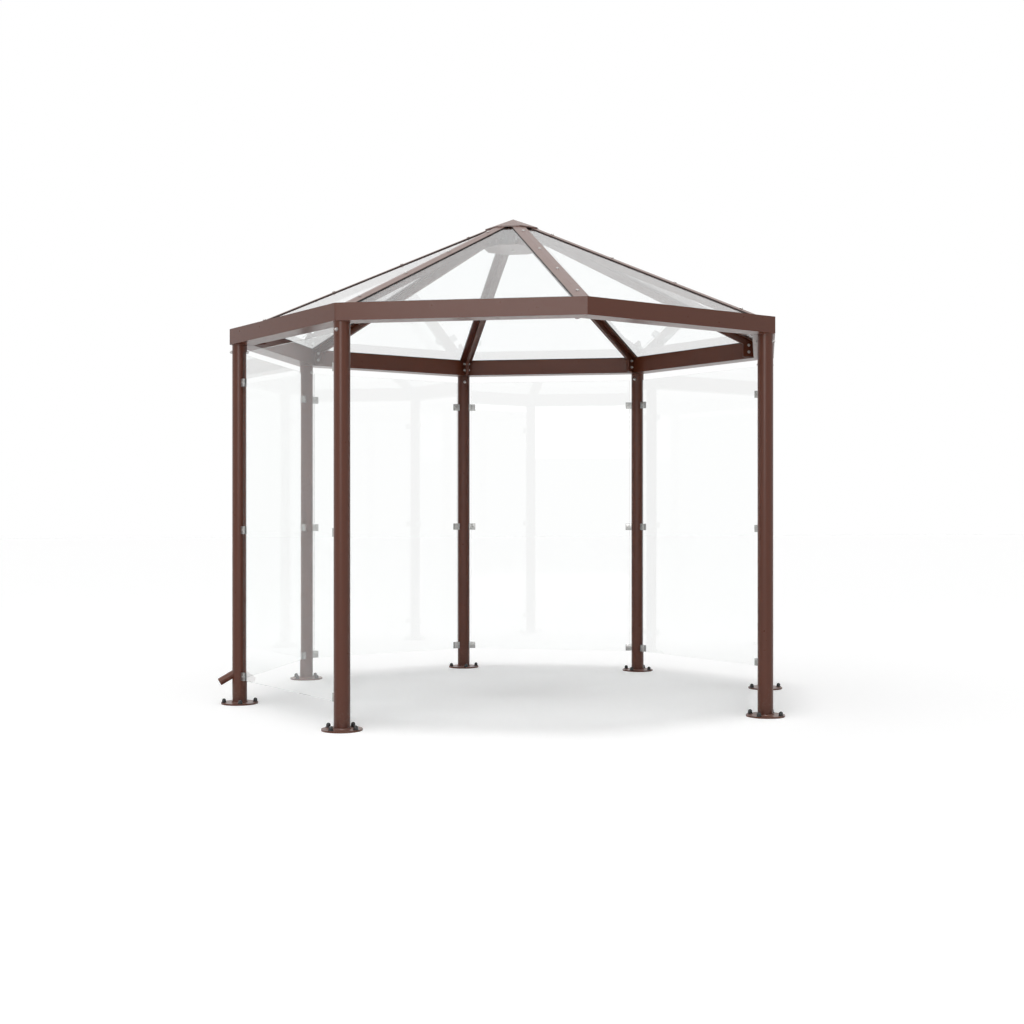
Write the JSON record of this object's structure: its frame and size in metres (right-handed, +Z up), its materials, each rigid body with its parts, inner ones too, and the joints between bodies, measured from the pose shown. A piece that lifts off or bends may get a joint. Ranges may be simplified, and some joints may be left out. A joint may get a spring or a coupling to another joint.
{
  "type": "smoking shelter",
  "caption": "Eight-sided open-fronted smoking shelter: painted steel frame on round posts, clear glass walls on clamps and a glazed pyramid roof with a box gutter.",
  "frame": {"origin": "centre of the ring of posts, on the floor", "axes": "+Z up; the open corner without a post, in the middle of the entrance, points along -Y"},
  "size_m": [3.8557, 3.7793, 3.1894],
  "materials": {
    "post_paint": "satin powder coat, chocolate brown",
    "frame_paint": "satin powder coat, chocolate brown",
    "wall_glass": "clear toughened glass with polished edges",
    "roof_glass": "clear laminated glass",
    "stainless": "satin stainless steel",
    "gasket_rubber": "black glazing rubber",
    "black_cap": "black moulded caps"
  },
  "bodies": {
    "root": {"post_1": "post_paint", "post_2": "post_paint", "post_3": "post_paint", "post_4": "post_paint", "post_5": "post_paint", "post_6": "post_paint", "post_7": "post_paint", "gutter_1": "frame_paint", "gutter_2": "frame_paint", "gutter_3": "frame_paint", "gutter_4": "frame_paint", "gutter_5": "frame_paint", "gutter_6": "frame_paint", "gutter_7": "frame_paint", "gutter_8": "frame_paint", "rafter_1": "frame_paint", "rafter_2": "frame_paint", "rafter_3": "frame_paint", "rafter_4": "frame_paint", "rafter_5": "frame_paint", "rafter_6": "frame_paint", "rafter_7": "frame_paint", "rafter_8": "frame_paint", "roof_pane_1": "roof_glass", "roof_pane_2": "roof_glass", "roof_pane_3": "roof_glass", "roof_pane_4": "roof_glass", "roof_pane_5": "roof_glass", "roof_pane_6": "roof_glass", "roof_pane_7": "roof_glass", "roof_pane_8": "roof_glass", "wall_pane_1": "wall_glass", "wall_pane_2": "wall_glass", "wall_pane_3": "wall_glass", "wall_pane_4": "wall_glass", "wall_pane_5": "wall_glass", "wall_pane_6": "wall_glass", "corner_brackets": "frame_paint", "hip_covers": "frame_paint", "eave_rails": "frame_paint", "glass_clamps": "stainless", "hub_drum": "frame_paint", "hub_plate": "frame_paint", "roof_cap": "frame_paint", "rain_spout": "post_paint"}
  },
  "joints": []
}
